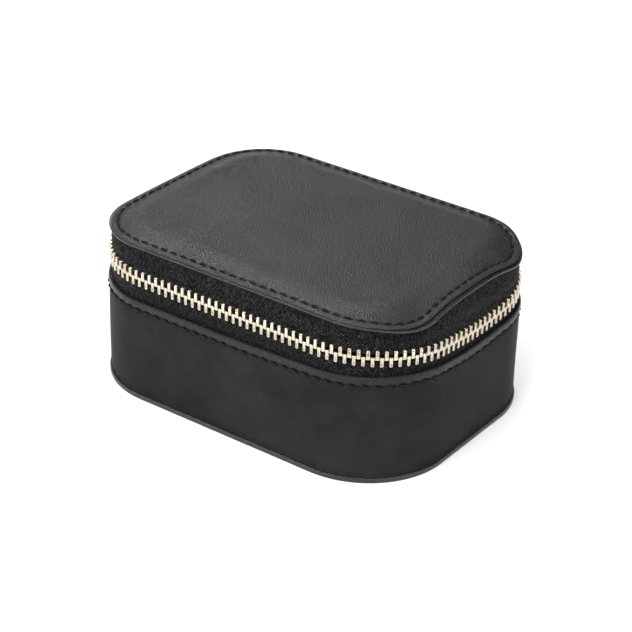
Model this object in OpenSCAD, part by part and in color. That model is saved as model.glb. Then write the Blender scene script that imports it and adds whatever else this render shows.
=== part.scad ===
// Zip-round jewellery case: a low box with rounded corners, covered in leather,
// with a padded lid on a leather hinge and a metal zip round three sides.
// Millimetres, +Z up, origin on the ground under the middle of the box.
// +Y is the hinge side (back), -X is the side the zip slider parks on.

/* [Case] */
// Length of the covered wall, left to right
body_l = 109.6; // [108:0.2:116]
// Depth of the covered wall, front to back
body_w = 80.4; // [79:0.2:88]
// Radius of the vertical corners
corner_r = 25; // [22:1:28]
// Height of the wall leather's top edge
wall_top = 31.2; // [30:0.2:32]
// Thickness of the bottom leather panel
bottom_t = 1.5; // [1:0.1:2]
// How far the bottom panel stands out past the wall
bottom_lip = 0.4; // [0.2:0.1:0.8]

/* [Lid] */
// Length of the lid's top panel
lid_l = 104.4; // [102:0.2:105]
// Depth of the lid's top panel
lid_w = 77; // [75:0.2:77.4]
// Corner radius of the lid's top panel
lid_r = 19.6; // [18:0.1:22]
// Height of the lid's sewn flange, top face
flange_z = 47.8; // [47.4:0.1:50]
// Rise of the padded crown above the flange
crown_h = 2.2; // [1:0.1:4]

/* [Zip] */
// Height of the line where the two rows of teeth meet
zip_mid = 38.1; // [37.8:0.1:38.6]
// Distance from one tooth to the next in a row
tooth_pitch = 2.35; // [2:0.05:2.6]
// Width of one tooth along the zip
tooth_w = 1.1; // [0.9:0.05:1.15]
// Thickness of a tooth through the tape
tooth_t = 2; // [1.8:0.1:2.6]
// Length of a tooth across the zip
tooth_h = 2.8; // [2.6:0.1:3.4]
// Thickness of the woven tape
tape_t = 0.6; // [0.5:0.05:0.7]
// Place of the parked slider along the left side
slider_y = 11; // [8:0.5:11]

/* [Inside] */
// Number of ring rolls
roll_count = 7; // [5:1:8]
// Gap between ring rolls, where rings stand
ring_gap = 1.2; // [1:0.1:2]
// Place of the divider between the ring rolls and the compartments
divider_x = 4; // [0:1:10]
// Place of the divider between the two compartments
divider_y = 3; // [-6:1:6]
// Height of the dividers' top edges
divider_top = 28; // [24:1:30]

/* [Stitches] */
// Distance from one stitch to the next
stitch_pitch = 3.4; // [3:0.1:4]
// Length of one stitch
stitch_l = 2.5; // [2:0.1:2.8]
// Distance of the wall's upper row below the wall's top edge
hem = 2.8; // [2:0.1:3]
// Distance of the lid's row in from the flange's edge
lid_hem = 2.1; // [1.8:0.1:3.2]

/* [Hidden] */
$fn = 64;

leather_t = 1;
tape_in = leather_t + tape_t / 2;
board_in = leather_t + tape_t;
rebate_in = 4.2;
lip_in = 5;
lining_t = 0.8;
inner_in = lip_in + lining_t;
tape_foot = 28;
rebate_z = zip_mid - 5.5;
lip_top = zip_mid - 0.5;
floor_z = 3.5;
lining_z = floor_z + lining_t;

// Tape edges sit inside the teeth; each row's teeth reach a little past the middle
tape_edge = 1.3;
tooth_reach = 0.4;
slot_t = 0.7;
bend_z = zip_mid + 4.8;

// The lid's layers, from the top down
flange_t = 0.8;
under_t = 0.8;
under_w = 8;
lid_board_t = 0.8;
under_top = flange_z - flange_t;
under_z = under_top - under_t;
lid_board_z = under_z - lid_board_t;
lid_lining_z = lid_board_z - 1;
lid_wall_in = 2.2;
lid_wall_t = 1.2;
lid_wall_z = zip_mid + 0.5;
pad_in = lid_hem + 1.8;
pad_skin = 0.8;
pad_round = 14;

// The mirror in the lid
mirror_l = 74;
mirror_w = 48;
mirror_r = 6;
mirror_t = 1.4;
frame_w = 4;
frame_rise = 0.2;

// The hinge strip at the back, and where the zip's teeth start and stop
hinge_half = 24;
tall = 60;
chain_l = body_l - 2 * tape_in;
chain_w = body_w - 2 * tape_in;
chain_r = corner_r - tape_in;
chain_a = chain_l / 2 - chain_r;
chain_b = chain_w / 2 - chain_r;
quarter = PI * chain_r / 2;
chain_start = hinge_half + 3;
run_start = 3 * chain_a + 3 * quarter + 2 * chain_b;
run_end = run_start + chain_b + slider_y + 1;
run_teeth = floor((run_end - run_start) / tooth_pitch);
front_teeth = floor((run_start - chain_start) / tooth_pitch);

// Inside of the tray
inner_l = body_l - 2 * inner_in;
inner_w = body_w - 2 * inner_in;
inner_r = corner_r - inner_in;
roll_pitch = inner_w / roll_count;
roll_d = roll_pitch - ring_gap;
roll_base_z = 16;
roll_mid_z = 23.5;
divider_t = 2;
gap = 0.1;

// Thread, and the crimped stops at the ends of the zip
thread_w = 0.4;
thread_t = 0.3;
stop_w = 1.8;
stop_t = 2.2;
stop_h = 3;

// The slider: two plates joined by a neck, with guide rails along both edges
slider_x = -chain_l / 2;
plate_in = tooth_t / 2 + 0.3;
plate_t = 1.1;
slider_l = 9;
slider_h = 3.9;
rail_t = 0.8;
neck_r = 0.7;
bar_r = 0.6;
bar_l = 6;
bail_x = slider_x - plate_in - plate_t - 2.6;
link_r = 1.7;
link_wire = 0.45;
link_z = zip_mid - link_r + bar_r + link_wire + 0.1;
tab_t = 1;
tab_w = 5;
tab_l = 15;
tab_hole = 0.8;
tab_eye = 1.45;

// A rounded rectangle made of plain squares and circles
module rounded(l, w, r) {
    square([l - 2 * r, w], center = true);
    square([l, w - 2 * r], center = true);
    for (x = [-1, 1], y = [-1, 1])
        translate([x * (l / 2 - r), y * (w / 2 - r)])
            circle(r);
}

// A band that follows the wall, between two distances in from its outer face
module wall_band(out, inn, z0, z1) {
    translate([0, 0, z0])
        linear_extrude(z1 - z0)
            difference() {
                rounded(body_l - 2 * out, body_w - 2 * out, corner_r - out);
                rounded(body_l - 2 * inn, body_w - 2 * inn, corner_r - inn);
            }
}

// A plate that fills the wall's outline, a distance in from its outer face
module wall_plate(inn, z0, z1) {
    translate([0, 0, z0])
        linear_extrude(z1 - z0)
            rounded(body_l - 2 * inn, body_w - 2 * inn, corner_r - inn);
}

// The same two, following the lid's outline
module lid_band(out, inn, z0, z1) {
    translate([0, 0, z0])
        linear_extrude(z1 - z0)
            difference() {
                rounded(lid_l - 2 * out, lid_w - 2 * out, lid_r - out);
                rounded(lid_l - 2 * inn, lid_w - 2 * inn, lid_r - inn);
            }
}

module lid_plate(inn, z0, z1) {
    translate([0, 0, z0])
        linear_extrude(z1 - z0)
            rounded(lid_l - 2 * inn, lid_w - 2 * inn, lid_r - inn);
}

// Point and outward heading on a rounded rectangle, s along it clockwise from the back middle
function edge_at(s, l, w, r) =
    let (a = l / 2 - r, b = w / 2 - r, q = PI * r / 2)
    s < a ? [s, b + r, 90]
    : s < a + q ? arc_at(a, b, r, 90 - (s - a) / q * 90)
    : s < a + q + 2 * b ? [a + r, b - (s - a - q), 0]
    : s < a + 2 * q + 2 * b ? arc_at(a, -b, r, -(s - a - q - 2 * b) / q * 90)
    : s < 3 * a + 2 * q + 2 * b ? [3 * a - s + 2 * q + 2 * b - a, -b - r, -90]
    : s < 3 * a + 3 * q + 2 * b ? arc_at(-a, -b, r, -90 - (s - 3 * a - 2 * q - 2 * b) / q * 90)
    : s < 3 * a + 3 * q + 4 * b ? [-a - r, s - 3 * a - 3 * q - 3 * b, 180]
    : s < 3 * a + 4 * q + 4 * b ? arc_at(-a, b, r, 180 - (s - 3 * a - 3 * q - 4 * b) / q * 90)
    : [s - 4 * a - 4 * q - 4 * b, b + r, 90];

function arc_at(cx, cy, r, t) = [cx + r * cos(t), cy + r * sin(t), t];

function edge_length(l, w, r) = 2 * (l - 2 * r) + 2 * (w - 2 * r) + 2 * PI * r;

// Places a child on the edge: its +X points outward, its Y runs along the edge
module on_edge(s, l, w, r) {
    p = edge_at(s, l, w, r);
    translate([p[0], p[1], 0])
        rotate([0, 0, p[2]])
            children();
}

module on_chain(s) {
    on_edge(s, chain_l, chain_w, chain_r) children();
}

// A bottom-row tooth: a small U that grips the tape's edge
module tooth() {
    tip = zip_mid + tooth_reach;
    foot = tip - tooth_h;
    slot_top = zip_mid - tape_edge + gap;
    translate([0, tooth_w / 2, 0])
        rotate([90, 0, 0])
            linear_extrude(tooth_w)
                polygon([[-tooth_t / 2, foot], [-slot_t / 2, foot], [-slot_t / 2, slot_top],
                    [slot_t / 2, slot_top], [slot_t / 2, foot], [tooth_t / 2, foot],
                    [tooth_t / 2, tip], [-tooth_t / 2, tip]]);
}

module base_teeth(start, count) {
    for (i = [0 : count - 1])
        on_chain(start + (i + 0.25) * tooth_pitch) tooth();
}

// The lid's row is the base's row turned over about the middle, half a pitch along
module lid_teeth(start, count) {
    for (i = [0 : count - 1])
        on_chain(start + (i + 0.75) * tooth_pitch)
            translate([0, 0, 2 * zip_mid])
                mirror([0, 0, 1])
                    tooth();
}

// A crimped stop on the tape's edge, just past the last tooth
module stop(s) {
    on_chain(s)
        translate([0, stop_w / 2, 0])
            rotate([90, 0, 0])
                linear_extrude(stop_w)
                    polygon([[-stop_t / 2, zip_mid - stop_h], [-slot_t / 2, zip_mid - stop_h],
                        [-slot_t / 2, zip_mid - tape_edge + gap], [slot_t / 2, zip_mid - tape_edge + gap],
                        [slot_t / 2, zip_mid - stop_h], [stop_t / 2, zip_mid - stop_h],
                        [stop_t / 2, zip_mid - 0.3], [-stop_t / 2, zip_mid - 0.3]]);
}

// Takes the hinge strip's stretch out of a band
module cut_for_hinge() {
    difference() {
        union() children();
        translate([-hinge_half - gap, 0, 0])
            cube([2 * hinge_half + 2 * gap, body_w, tall]);
    }
}

// Keeps only the stretch at the back left, past the last stops, where the tapes have no teeth
module past_stops() {
    intersection() {
        children();
        translate([-body_l, slider_y + slider_l / 2 + 3, 0])
            cube([body_l - hinge_half, body_w, tall]);
    }
}

// A row of stitches lying on the wall
module wall_row(z) {
    total = edge_length(body_l, body_w, corner_r);
    count = round(total / stitch_pitch);
    for (i = [0 : count - 1])
        on_edge((i + 0.5) * total / count, body_l, body_w, corner_r)
            translate([0.04, -stitch_l / 2, z - thread_w / 2])
                cube([thread_t, stitch_l, thread_w]);
}

// ---- Base ----

module bottom_panel() {
    color([0.16, 0.16, 0.17])
        wall_plate(-bottom_lip, 0, bottom_t);
}

module floor_board() {
    color([0.45, 0.43, 0.40])
        wall_plate(lip_in, bottom_t, floor_z);
}

module wall_board() {
    color([0.45, 0.43, 0.40]) {
        wall_band(leather_t, lip_in, bottom_t, tape_foot);
        wall_band(board_in, lip_in, tape_foot, rebate_z);
        wall_band(rebate_in, lip_in, rebate_z, lip_top);
    }
}

module wall_leather() {
    color([0.19, 0.19, 0.20])
        wall_band(0, leather_t, bottom_t, wall_top);
}

module wall_stitching() {
    color([0.14, 0.14, 0.15]) {
        wall_row(wall_top - hem);
        wall_row(bottom_t + 1);
    }
}

module lining_wall() {
    color([0.24, 0.23, 0.24])
        wall_band(lip_in, inner_in, lining_z, lip_top);
}

module lining_floor() {
    color([0.24, 0.23, 0.24])
        wall_plate(lip_in, floor_z, lining_z);
}

// Half-length available at a distance y from the middle, inside the lining
function inner_reach(y) =
    let (b = inner_w / 2 - inner_r, past = max(0, abs(y) - b))
    inner_l / 2 - inner_r + sqrt(inner_r * inner_r - past * past);

module ring_base() {
    color([0.24, 0.23, 0.24])
        intersection() {
            wall_plate(inner_in + gap, lining_z, roll_base_z);
            translate([-body_l, -body_w, 0])
                cube([body_l + divider_x - divider_t / 2 - gap, 2 * body_w, tall]);
        }
}

module ring_roll(i) {
    y = (i - (roll_count + 1) / 2) * roll_pitch;
    left = -inner_reach(abs(y) + roll_d / 2) + 2 * gap;
    right = divider_x - divider_t / 2 - gap;
    color([0.26, 0.25, 0.26])
        translate([left, y, 0]) {
            translate([0, -roll_d / 2, roll_base_z])
                cube([right - left, roll_d, roll_mid_z - roll_base_z]);
            translate([0, 0, roll_mid_z])
                rotate([0, 90, 0])
                    cylinder(h = right - left, d = roll_d);
        }
}

module divider_long() {
    color([0.24, 0.23, 0.24])
        translate([divider_x - divider_t / 2, -inner_w / 2 + gap, lining_z])
            cube([divider_t, inner_w - 2 * gap, divider_top - lining_z]);
}

module divider_cross() {
    left = divider_x + divider_t / 2 + gap;
    color([0.24, 0.23, 0.24])
        translate([left, divider_y - divider_t / 2, lining_z])
            cube([inner_l / 2 - gap - left, divider_t, divider_top - lining_z]);
}

// ---- Zip, base side ----

module zip_tape_base() {
    color([0.10, 0.10, 0.11])
        cut_for_hinge() {
            wall_band(leather_t, board_in, tape_foot, zip_mid - tape_edge);
            past_stops()
                wall_band(leather_t, board_in, zip_mid - tape_edge, zip_mid - 0.2);
        }
}

module zip_teeth_base() {
    color([0.85, 0.80, 0.66])
        base_teeth(chain_start, front_teeth);
}

module zip_run_base() {
    color([0.85, 0.80, 0.66])
        base_teeth(chain_start + front_teeth * tooth_pitch, run_teeth);
}

module zip_bottom_stop() {
    color([0.85, 0.80, 0.66])
        stop(chain_start - 1.2);
}

module zip_top_stop_base() {
    color([0.85, 0.80, 0.66])
        stop(run_start + chain_b + slider_y + slider_l / 2 + 1.3);
}

// ---- Lid ----

// The padded crown: slices that step in and up, joined into one smooth solid
module crown(drop) {
    hull()
        for (k = [0 : 4]) {
            t = k / 4;
            lid_plate(pad_in + drop + pad_round * (1 - cos(90 * t)), flange_z - drop - 0.01,
                flange_z - drop + max(0.01, crown_h * sin(90 * t)));
        }
}

module lid_leather() {
    color([0.26, 0.26, 0.27])
        difference() {
            union() {
                lid_plate(0, under_top, flange_z);
                crown(0);
            }
            crown(pad_skin);
        }
}

module lid_foam() {
    color([0.80, 0.78, 0.70])
        intersection() {
            crown(pad_skin);
            translate([0, 0, under_top + tall / 2])
                cube([lid_l, lid_w, tall], center = true);
        }
}

module lid_under() {
    color([0.15, 0.15, 0.16])
        lid_band(gap, under_w, under_z, under_top);
}

module lid_board() {
    color([0.45, 0.43, 0.40]) {
        lid_plate(under_w, under_z, under_top);
        lid_plate(lid_wall_in + lid_wall_t, lid_board_z, under_z);
    }
}

module lid_wall_board() {
    color([0.45, 0.43, 0.40])
        lid_band(lid_wall_in, lid_wall_in + lid_wall_t, lid_wall_z, under_z);
}

module lid_stitching() {
    l = lid_l - 2 * lid_hem;
    w = lid_w - 2 * lid_hem;
    r = lid_r - lid_hem;
    total = edge_length(l, w, r);
    count = round(total / stitch_pitch);
    color([0.12, 0.12, 0.13])
        for (i = [0 : count - 1])
            on_edge((i + 0.5) * total / count, l, w, r)
                translate([-thread_w / 2, -stitch_l / 2, flange_z + 0.02])
                    cube([thread_w, stitch_l, thread_t]);
}

module lid_lining() {
    color([0.24, 0.23, 0.24])
        lid_plate(lid_wall_in + lid_wall_t, lid_lining_z, lid_board_z);
}

module lid_lining_wall() {
    color([0.24, 0.23, 0.24])
        lid_band(lid_wall_in + lid_wall_t, lid_wall_in + lid_wall_t + lining_t,
            lid_wall_z, lid_lining_z);
}

module mirror_glass() {
    color([0.85, 0.87, 0.88])
        translate([0, 0, lid_lining_z - mirror_t])
            linear_extrude(mirror_t)
                rounded(mirror_l, mirror_w, mirror_r);
}

module mirror_frame() {
    color([0.19, 0.19, 0.20])
        translate([0, 0, lid_lining_z - mirror_t - frame_rise])
            linear_extrude(mirror_t + frame_rise)
                difference() {
                    rounded(mirror_l + 2 * frame_w, mirror_w + 2 * frame_w, mirror_r + frame_w);
                    rounded(mirror_l, mirror_w, mirror_r);
                }
}

// ---- Zip, lid side ----

// The tape stands up from the teeth, then leans in to its seam under the flange
module leaning_sheet(inset) {
    hull() {
        translate([0, 0, bend_z])
            linear_extrude(0.01)
                rounded(body_l - 2 * (leather_t + inset), body_w - 2 * (leather_t + inset),
                    corner_r - leather_t - inset);
        lid_plate(1 + inset, under_z - 0.01, under_z);
    }
}

module zip_tape_lid() {
    color([0.10, 0.10, 0.11])
        cut_for_hinge() {
            wall_band(leather_t, board_in, zip_mid + tape_edge, bend_z);
            past_stops()
                wall_band(leather_t, board_in, zip_mid + 0.2, zip_mid + tape_edge);
            difference() {
                leaning_sheet(0);
                leaning_sheet(tape_t);
                lid_plate(12, bend_z - 1, under_z + 1);
            }
        }
}

module zip_teeth_lid() {
    color([0.85, 0.80, 0.66])
        lid_teeth(chain_start, front_teeth);
}

module zip_run_lid() {
    color([0.85, 0.80, 0.66])
        lid_teeth(chain_start + front_teeth * tooth_pitch, run_teeth);
}

module zip_top_stop_lid() {
    color([0.85, 0.80, 0.66])
        translate([0, 0, 2 * zip_mid])
            mirror([0, 0, 1])
                stop(run_start + chain_b + slider_y + slider_l / 2 + 1.3);
}

// ---- Hinge at the back ----

// A strip along X with the section given by points in Y and Z
module strip(half, points) {
    translate([-half, 0, 0])
        rotate([90, 0, 90])
            linear_extrude(2 * half)
                polygon(points);
}

module hinge_leather() {
    out = body_w / 2 - leather_t;
    top = lid_w / 2 - 1;
    color([0.19, 0.19, 0.20])
        strip(hinge_half, [[out, tape_foot], [out, bend_z], [top, under_z],
            [top - tape_t, under_z], [out - tape_t, bend_z - 0.2], [out - tape_t, tape_foot]]);
}

module hinge_lining() {
    low = body_w / 2 - lip_in;
    high = lid_w / 2 - lid_wall_in - lid_wall_t;
    color([0.24, 0.23, 0.24])
        strip(hinge_half, [[low, lip_top], [high, lid_wall_z], [high - lining_t, lid_wall_z],
            [low - lining_t, lip_top]]);
}

// ---- Slider and pull ----

// A block between two distances out from the tape's middle plane, outward being -X
module slider_block(out0, out1, y0, y1, z0, z1) {
    translate([slider_x - out1, slider_y + y0, zip_mid + z0])
        cube([out1 - out0, y1 - y0, z1 - z0]);
}

// A plate with a rounded head, seen from the side of the case
module slider_plate(out0, out1) {
    translate([slider_x - out1, slider_y, zip_mid])
        rotate([90, 0, 90])
            linear_extrude(out1 - out0) {
                translate([slider_l / 2 - slider_h, 0])
                    circle(slider_h);
                translate([-slider_l / 2, -slider_h])
                    square([slider_l - slider_h, 2 * slider_h]);
            }
}

module slider_body() {
    color([0.80, 0.76, 0.64]) {
        slider_plate(plate_in, plate_in + plate_t);
        slider_plate(-plate_in - plate_t, -plate_in);
        for (side = [-1, 1])
            for (out = [-plate_in, plate_in - rail_t - 0.1])
                slider_block(out, out + rail_t + 0.1, -slider_l / 2 + 0.4, slider_l / 2 - 2.6,
                    side * (slider_h - 0.4) - 0.4, side * (slider_h - 0.4) + 0.4);
        translate([slider_x, slider_y + slider_l / 2 - 1.4, zip_mid])
            rotate([0, 90, 0])
                cylinder(h = 2 * plate_in, r = neck_r, center = true);
    }
}

module slider_bail() {
    face = slider_x - plate_in - plate_t;
    color([0.80, 0.76, 0.64]) {
        translate([bail_x, slider_y, zip_mid])
            rotate([90, 0, 0])
                cylinder(h = bar_l, r = bar_r, center = true);
        for (y = [-1, 1])
            translate([bail_x, slider_y + y * (bar_l / 2 - 0.4) - 0.5, zip_mid - bar_r])
                cube([face - bail_x, 1, 2 * bar_r]);
    }
}

module pull_link() {
    color([0.80, 0.76, 0.64])
        translate([bail_x, slider_y, link_z])
            rotate([90, 0, 0])
                rotate_extrude()
                    translate([link_r, 0])
                        circle(link_wire);
}

module pull_tab() {
    hole_z = link_z - link_r;
    color([0.80, 0.76, 0.64])
        translate([bail_x - tab_t / 2, slider_y, hole_z])
            rotate([90, 0, 90])
                linear_extrude(tab_t)
                    difference() {
                        union() {
                            circle(r = tab_eye);
                            translate([-tab_eye, -4])
                                square([2 * tab_eye, 4]);
                            translate([-tab_w / 2, -tab_l])
                                square([tab_w, tab_l - 3]);
                            translate([0, -tab_l])
                                circle(d = tab_w);
                        }
                        circle(r = tab_hole);
                    }
}

bottom_panel();
floor_board();
wall_board();
wall_leather();
wall_stitching();
lining_wall();
lining_floor();
ring_base();
for (i = [1 : roll_count])
    ring_roll(i);
divider_long();
divider_cross();
zip_tape_base();
zip_teeth_base();
zip_run_base();
zip_bottom_stop();
zip_top_stop_base();
lid_leather();
lid_foam();
lid_under();
lid_board();
lid_wall_board();
lid_stitching();
lid_lining();
lid_lining_wall();
mirror_glass();  // mirror
mirror_frame();
zip_tape_lid();
zip_teeth_lid();
zip_run_lid();
zip_top_stop_lid();
hinge_leather();
hinge_lining();
slider_body();
slider_bail();
pull_link();
pull_tab();
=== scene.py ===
"""A leather jewellery case with a zip round its sides, closed on a pale floor.

Metres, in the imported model's frame: +Z up, +Y the hinge side, the zip slider on -X.
"""
import math

import bmesh
import bpy
import numpy as np
from mathutils import Matrix, Vector


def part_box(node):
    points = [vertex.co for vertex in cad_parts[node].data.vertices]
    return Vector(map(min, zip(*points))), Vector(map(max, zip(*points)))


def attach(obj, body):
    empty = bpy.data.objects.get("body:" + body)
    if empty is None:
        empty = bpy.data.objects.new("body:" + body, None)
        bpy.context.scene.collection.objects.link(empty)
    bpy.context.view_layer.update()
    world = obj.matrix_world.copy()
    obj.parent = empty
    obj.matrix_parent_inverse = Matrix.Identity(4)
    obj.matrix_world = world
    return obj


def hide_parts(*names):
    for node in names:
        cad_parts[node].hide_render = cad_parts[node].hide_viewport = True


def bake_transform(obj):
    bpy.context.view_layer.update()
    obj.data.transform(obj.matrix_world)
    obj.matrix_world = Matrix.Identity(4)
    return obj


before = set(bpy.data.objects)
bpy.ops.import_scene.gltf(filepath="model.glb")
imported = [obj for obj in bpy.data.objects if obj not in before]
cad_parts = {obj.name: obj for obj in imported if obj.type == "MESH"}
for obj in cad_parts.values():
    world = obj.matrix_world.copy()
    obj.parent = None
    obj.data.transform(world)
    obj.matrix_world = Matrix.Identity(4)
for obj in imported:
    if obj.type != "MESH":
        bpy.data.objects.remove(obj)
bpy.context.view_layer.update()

MM = 0.001


# ---- Sizes, read from the frame ----

def size_of(node):
    """Length, width, lowest and highest height of a CAD node."""
    low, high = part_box(node)
    return high.x - low.x, high.y - low.y, low.z, high.z


WALL_L, WALL_W, _, WALL_TOP = size_of("wall_leather")
WALL_R = 25 * MM
PANEL_L, PANEL_W, _, PANEL_T = size_of("bottom_panel")
LID_L, LID_W, LID_FOOT, LID_CROWN = size_of("lid_leather")
LID_R = 19.6 * MM
UNDER_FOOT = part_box("lid_under")[0].z
LIP_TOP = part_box("wall_board")[1].z
TAPE_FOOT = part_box("zip_tape_base")[0].z
ZIP_MID = (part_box("zip_tape_base")[1].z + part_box("zip_tape_lid")[0].z) / 2
TAPE_EDGE = 1.3 * MM
FLANGE_T = 0.8 * MM
FLANGE = LID_FOOT + FLANGE_T
CROWN = LID_CROWN - FLANGE

LEATHER_T = 1 * MM
TAPE_T = 0.6 * MM
TAPE_IN = LEATHER_T + TAPE_T / 2
LIP_OUT, LIP_IN = 4.2 * MM, 5 * MM
LINING_IN = 5.8 * MM
LID_WALL_IN, LID_WALL_OUT = 3.4 * MM, 2.2 * MM
LID_BOARD_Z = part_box("lid_board")[0].z
LID_LINING_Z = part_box("lid_lining")[0].z
FLOOR_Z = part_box("lining_floor")[0].z
LINING_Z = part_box("lining_floor")[1].z
LID_WALL_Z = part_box("lid_wall_board")[0].z
BEND_Z = ZIP_MID + 4.8 * MM
HINGE_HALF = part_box("hinge_leather")[1].x
HEM = 2.8 * MM
FOOT_HEM = 0.8 * MM
LID_HEM = 2.1 * MM
STITCH_PITCH = 3.4 * MM
STITCH_L = 2.6 * MM
THREAD_R = 0.29 * MM
TOOTH_PITCH = 2.35 * MM
TOOTH_W = 1.1 * MM
TOOTH_T = 2 * MM
TOOTH_H = 2.8 * MM


# ---- Shape of the used case ----

ZIP_SAG = 3.6 * MM         # how far the zip hangs at the right-hand end
ZIP_SAG_Y = 5 * MM         # where along that end it hangs lowest
ZIP_SAG_REACH = 28 * MM
HEM_SAG = 1.1 * MM         # dip of the wall's top edge at the same end
HEM_SAG_REACH = 16 * MM
HEM_LIFT = 1.1 * MM        # rise of the wall's top edge at the front right corner
END_FROM, END_RUN = 30 * MM, 20 * MM
STIFF_TO = 8 * MM          # the wall's foot up to here doesn't move


def smooth(t):
    """0 to 1 with soft ends."""
    t = np.clip(t, 0, 1)
    return t * t * (3 - 2 * t)


def bell(t, width):
    """1 at t = 0, falling to nothing a few widths away."""
    return np.exp(-(t / width) ** 2)


def sag(x, y, z):
    """How far the zip has slumped at the right-hand end; its foot and the lid's seam stay in place."""
    along = bell(y - ZIP_SAG_Y, ZIP_SAG_REACH) * smooth((x - END_FROM) / END_RUN)
    below_lid = 1 - smooth((z - 39 * MM) / (7 * MM))
    return -ZIP_SAG * along * smooth((z - STIFF_TO) / (24 * MM)) * below_lid


def hem_shift(x, y, z):
    """The wall's top edge dips at the right-hand end and stands a little high at the front corner."""
    dip = bell(y, HEM_SAG_REACH) * smooth((x - END_FROM) / END_RUN)
    lift = smooth((x - 5 * MM) / (35 * MM)) * smooth(-y / (30 * MM))
    return (HEM_LIFT * lift - HEM_SAG * dip) * smooth((z - STIFF_TO) / (22 * MM))


# ---- Mesh tools ----

def edge_at(s, length, width, radius):
    """Point and outward normal on a rounded rectangle, s metres clockwise from the back middle."""
    a, b, q = length / 2 - radius, width / 2 - radius, math.pi * radius / 2
    s %= 4 * (a + b + q)

    def corner(cx, cy, turned, start):
        t = math.radians(start - 90 * turned / q)
        return cx + radius * math.cos(t), cy + radius * math.sin(t), math.cos(t), math.sin(t)

    for run, place in (
            (a, lambda t: (t, b + radius, 0, 1)),
            (q, lambda t: corner(a, b, t, 90)),
            (2 * b, lambda t: (a + radius, b - t, 1, 0)),
            (q, lambda t: corner(a, -b, t, 0)),
            (2 * a, lambda t: (a - t, -b - radius, 0, -1)),
            (q, lambda t: corner(-a, -b, t, -90)),
            (2 * b, lambda t: (-a - radius, t - b, -1, 0)),
            (q, lambda t: corner(-a, b, t, 180))):
        if s < run:
            return place(s)
        s -= run
    return s - a, b + radius, 0, 1


def edge_length(length, width, radius):
    return 2 * (length + width) - (8 - 2 * math.pi) * radius


def new_mesh(name, points, faces, uvs=None, shade_smooth=True):
    """A mesh object from points and faces; uvs holds one (u, v) for each corner of each face."""
    mesh = bpy.data.meshes.new(name)
    mesh.from_pydata([tuple(p) for p in points], [], faces)
    if uvs is not None:
        layer = mesh.uv_layers.new(name="cloth")
        layer.data.foreach_set("uv", np.array(uvs, np.float32).ravel())
    if shade_smooth:
        mesh.polygons.foreach_set("use_smooth", [True] * len(mesh.polygons))
    mesh.validate()
    obj = bpy.data.objects.new(name, mesh)
    bpy.context.scene.collection.objects.link(obj)
    return obj


def weld(obj):
    """Joins points that lie on one another, so that a surface closes on itself."""
    distance = 0.002 * MM
    bm = bmesh.new()
    bm.from_mesh(obj.data)
    bmesh.ops.remove_doubles(bm, verts=bm.verts, dist=distance)
    bmesh.ops.dissolve_degenerate(bm, edges=bm.edges, dist=distance)
    bm.to_mesh(obj.data)
    bm.free()


def finish_piece(obj, body, slot, material, *nodes):
    """Gives a piece its material and its body, and hides the CAD nodes it stands for."""
    obj.data.materials.clear()
    obj.data.materials.append(material)
    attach(obj, body)
    if nodes:
        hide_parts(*nodes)
    return obj


def sweep(name, outline, profile, count, span=None, warp=None, fan=False):
    """Runs a cross-section of (distance in, height) points round a rounded rectangle.

    count is the number of steps. span is the stretch (from, to) along the outline, or None for all of it.
    fan closes the last profile point on the middle. warp(points, s) may move the points.
    """
    total = edge_length(*outline)
    closed = span is None
    start, stop = (0, total) if closed else span
    rows = count if closed else count + 1
    s_values = start + (stop - start) * np.arange(rows) / count
    edge = np.array([edge_at(s, *outline) for s in s_values])
    prof = np.array(profile)
    points = np.empty((rows, len(prof), 3))
    points[:, :, 0] = edge[:, None, 0] - edge[:, None, 2] * prof[None, :, 0]
    points[:, :, 1] = edge[:, None, 1] - edge[:, None, 3] * prof[None, :, 0]
    points[:, :, 2] = prof[None, :, 1]
    if warp:
        points = warp(points, s_values)
    m = len(prof)
    v_values = np.r_[0, np.cumsum(np.hypot(*np.diff(prof, axis=0).T))]
    v_end = v_values[-1] + np.hypot(*(prof[0] - prof[-1]))
    faces, uvs = [], []
    around = m - 1 if fan else m
    for i in range(rows if closed else rows - 1):
        i2 = (i + 1) % rows
        u, u2 = s_values[i], s_values[i] + (stop - start) / count
        for j in range(around):
            j2 = (j + 1) % m
            v, v2 = v_values[j], v_values[j2] if j2 else v_end
            faces.append((i * m + j, i * m + j2, i2 * m + j2, i2 * m + j))
            uvs += [(u, v), (u, v2), (u2, v2), (u2, v)]
    if not closed:
        faces.append(tuple(range(m))[::-1])
        faces.append(tuple((rows - 1) * m + j for j in range(m)))
        uvs += [(0, 0)] * (2 * m)
    if fan:
        faces.append(tuple(i * m + m - 1 for i in range(rows))[::-1])
        faces.append(tuple(i * m for i in range(rows)))
        uvs += [(0, 0)] * (2 * rows)
    return new_mesh(name, points.reshape(-1, 3), faces, uvs)


def rounded_profile(points, radius, steps=4):
    """Rounds the corners of a closed cross-section; a point may carry its own radius."""
    out = []
    n = len(points)
    for k in range(n):
        p = np.array(points[k][:2])
        r = points[k][2] if len(points[k]) > 2 else radius
        before = np.array(points[k - 1][:2]) - p
        after = np.array(points[(k + 1) % n][:2]) - p
        lb, la = np.linalg.norm(before), np.linalg.norm(after)
        r = min(r, lb * 0.49, la * 0.49)
        for t in np.linspace(0, 1, steps + 1):
            enter, leave = p + before / lb * r, p + after / la * r
            out.append(tuple((1 - t) ** 2 * enter + 2 * t * (1 - t) * p + t * t * leave))
    return out


def fill_between(a, b, step):
    """Points from a to b, about a step apart, without b."""
    a, b = np.array(a), np.array(b)
    n = max(1, int(round(np.linalg.norm(b - a) / step)))
    return [tuple(a + (b - a) * k / n) for k in range(n)]


def open_line(points, step):
    """The same line of points with no stretch much longer than a step."""
    return [p for a, b in zip(points, points[1:]) for p in fill_between(a, b, step)] + points[-1:]


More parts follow.
